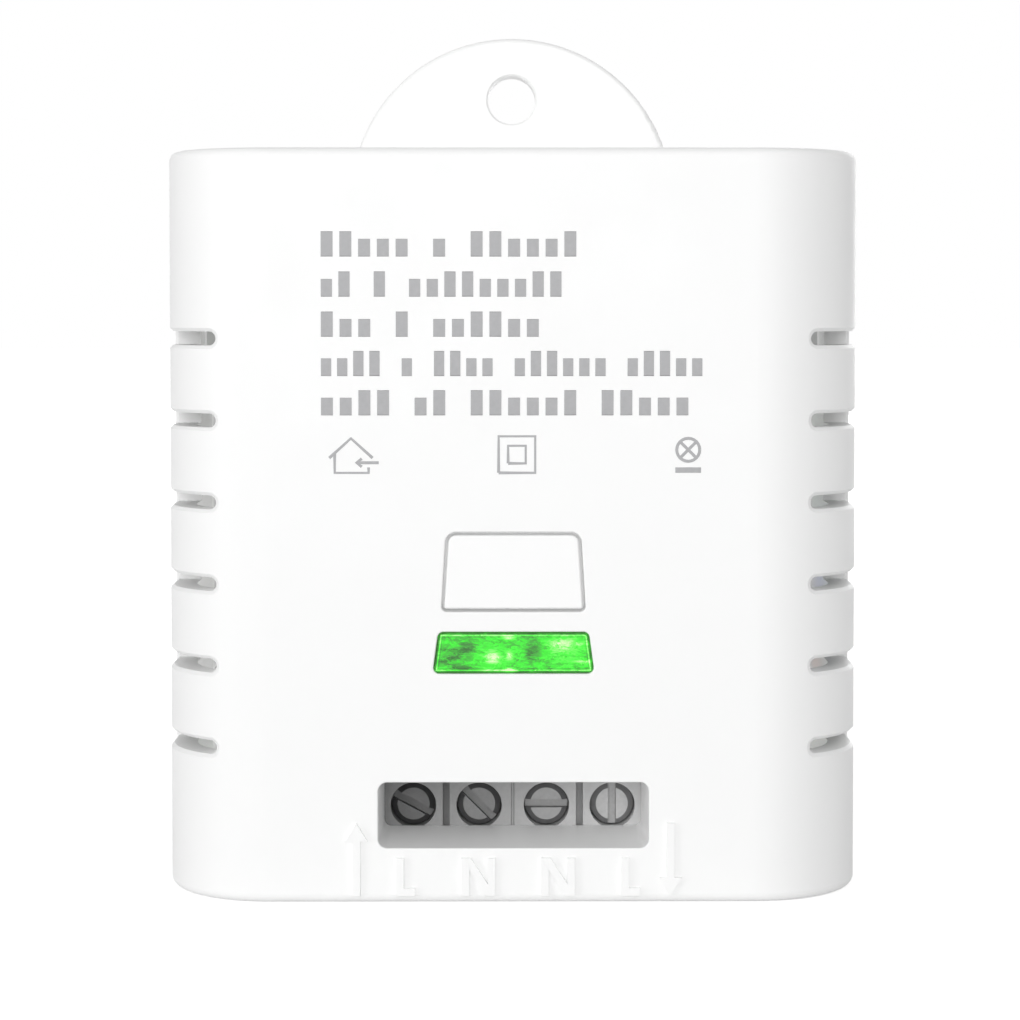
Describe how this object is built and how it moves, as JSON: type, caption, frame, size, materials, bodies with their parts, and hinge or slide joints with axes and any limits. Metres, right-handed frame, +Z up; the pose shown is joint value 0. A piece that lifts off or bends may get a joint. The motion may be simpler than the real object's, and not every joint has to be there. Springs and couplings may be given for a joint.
{
  "type": "smart relay module",
  "caption": "White flush-box relay module: rounded case with side vents and hanging ear, push key over a green light pipe, recessed clamp screws behind a window.",
  "frame": {"origin": "centre of the flat bottom end, midway across the width and the depth", "axes": "+X to the right seen from the front, +Y from the front face to the back, +Z up towards the hanging ear"},
  "size_m": [0.0524, 0.0252, 0.0662],
  "materials": {
    "shell_white": "satin moulded white ABS",
    "key_white": "satin moulded white ABS",
    "lens_green": "translucent green acrylic, lit from behind",
    "terminal_grey": "moulded grey polyamide",
    "screw_steel": "zinc plated",
    "plated_steel": "bright plated",
    "contact_brass": "tinned brass",
    "board_green": "solder mask over glass laminate",
    "small_board": "dark solder mask over glass laminate",
    "antenna_gold": "gold flash on copper",
    "relay_black": "moulded thermoset",
    "relay_cover": "moulded blue cover",
    "bobbin_cream": "moulded polyester",
    "soft_iron": "nickel plated soft iron",
    "enamelled_wire": "enamelled copper",
    "tinned_wire": "tinned",
    "led_body": "clear resin over a white cup",
    "can_sleeve": "shrink sleeve over an aluminium can",
    "ferrite": "sintered ferrite",
    "disc_blue": "epoxy dipped disc",
    "resistor_coat": "flameproof coating",
    "winding_tape": "polyester film tape",
    "chip_black": "moulded epoxy"
  },
  "bodies": {
    "case": {"bridge_rectifier": "chip_black", "circuit_board": "board_green", "component_leads": "tinned_wire", "entry_plate": "shell_white", "front_shell": "shell_white", "fuse_resistor": "resistor_coat", "indicator_led": "led_body", "inductor_drum": "ferrite", "inductor_winding": "enamelled_wire", "input_capacitor": "can_sleeve", "led_lens": "lens_green", "output_capacitor": "can_sleeve", "rear_shell": "shell_white", "regulator_chip": "chip_black", "relay_base": "relay_black", "relay_bobbin": "bobbin_cream", "relay_coil": "enamelled_wire", "relay_core": "soft_iron", "relay_cover": "relay_cover", "relay_driver": "chip_black", "relay_fixed_contacts": "contact_brass", "relay_pins": "tinned_wire", "relay_yoke": "soft_iron", "solder_feet": "tinned_wire", "supply_chip": "chip_black", "surge_disc": "disc_blue", "switch_body": "relay_black", "switch_cover": "plated_steel", "switch_dome": "plated_steel", "terminal_block_in": "terminal_grey", "terminal_block_out": "terminal_grey", "terminal_contacts": "contact_brass", "transformer_bobbin": "relay_black", "transformer_core": "ferrite", "transformer_winding": "winding_tape", "wifi_antenna": "antenna_gold", "wifi_board": "small_board", "wifi_shield": "plated_steel"},
    "button": {"push_button": "key_white", "switch_plunger": "relay_black"},
    "screw_1": {"terminal_screw_1": "screw_steel"},
    "clamp_1": {"wire_clamp_1": "plated_steel"},
    "screw_2": {"terminal_screw_2": "screw_steel"},
    "clamp_2": {"wire_clamp_2": "plated_steel"},
    "screw_3": {"terminal_screw_3": "screw_steel"},
    "clamp_3": {"wire_clamp_3": "plated_steel"},
    "screw_4": {"terminal_screw_4": "screw_steel"},
    "clamp_4": {"wire_clamp_4": "plated_steel"},
    "armature": {"relay_armature": "soft_iron", "relay_moving_blade": "contact_brass"}
  },
  "joints": [
    {"name": "button_press", "type": "slide", "parent": "case", "child": "button", "axis": [0, 1, 0], "range_m": [0, 0.0003], "stiffness_N_per_m": 4000},
    {"name": "screw_1_turn", "type": "hinge", "parent": "case", "child": "screw_1", "pos_m": [-0.00768, 0, 0.0058], "axis": [0, 1, 0], "range_deg": [0, 1280]},
    {"name": "clamp_1_rise", "type": "slide", "parent": "case", "child": "clamp_1", "axis": [0, -1, 0], "range_m": [0, 0.0016]},
    {"name": "screw_2_turn", "type": "hinge", "parent": "case", "child": "screw_2", "pos_m": [-0.0026, 0, 0.0058], "axis": [0, 1, 0], "range_deg": [0, 1280]},
    {"name": "clamp_2_rise", "type": "slide", "parent": "case", "child": "clamp_2", "axis": [0, -1, 0], "range_m": [0, 0.0016]},
    {"name": "screw_3_turn", "type": "hinge", "parent": "case", "child": "screw_3", "pos_m": [0.0026, 0, 0.0058], "axis": [0, 1, 0], "range_deg": [0, 1280]},
    {"name": "clamp_3_rise", "type": "slide", "parent": "case", "child": "clamp_3", "axis": [0, -1, 0], "range_m": [0, 0.0016]},
    {"name": "screw_4_turn", "type": "hinge", "parent": "case", "child": "screw_4", "pos_m": [0.00768, 0, 0.0058], "axis": [0, 1, 0], "range_deg": [0, 1280]},
    {"name": "clamp_4_rise", "type": "slide", "parent": "case", "child": "clamp_4", "axis": [0, -1, 0], "range_m": [0, 0.0016]},
    {"name": "armature_tilt", "type": "hinge", "parent": "case", "child": "armature", "pos_m": [-0.01665, -0.0061, 0.0303], "axis": [1, 0, 0], "range_deg": [0, 2.2], "stiffness_Nm_per_rad": 0.02}
  ],
  "couplings": [
    {"joint": "screw_1_turn", "follows": "clamp_1_rise", "rad_per_m": 13963},
    {"joint": "screw_2_turn", "follows": "clamp_2_rise", "rad_per_m": 13963},
    {"joint": "screw_3_turn", "follows": "clamp_3_rise", "rad_per_m": 13963},
    {"joint": "screw_4_turn", "follows": "clamp_4_rise", "rad_per_m": 13963}
  ]
}
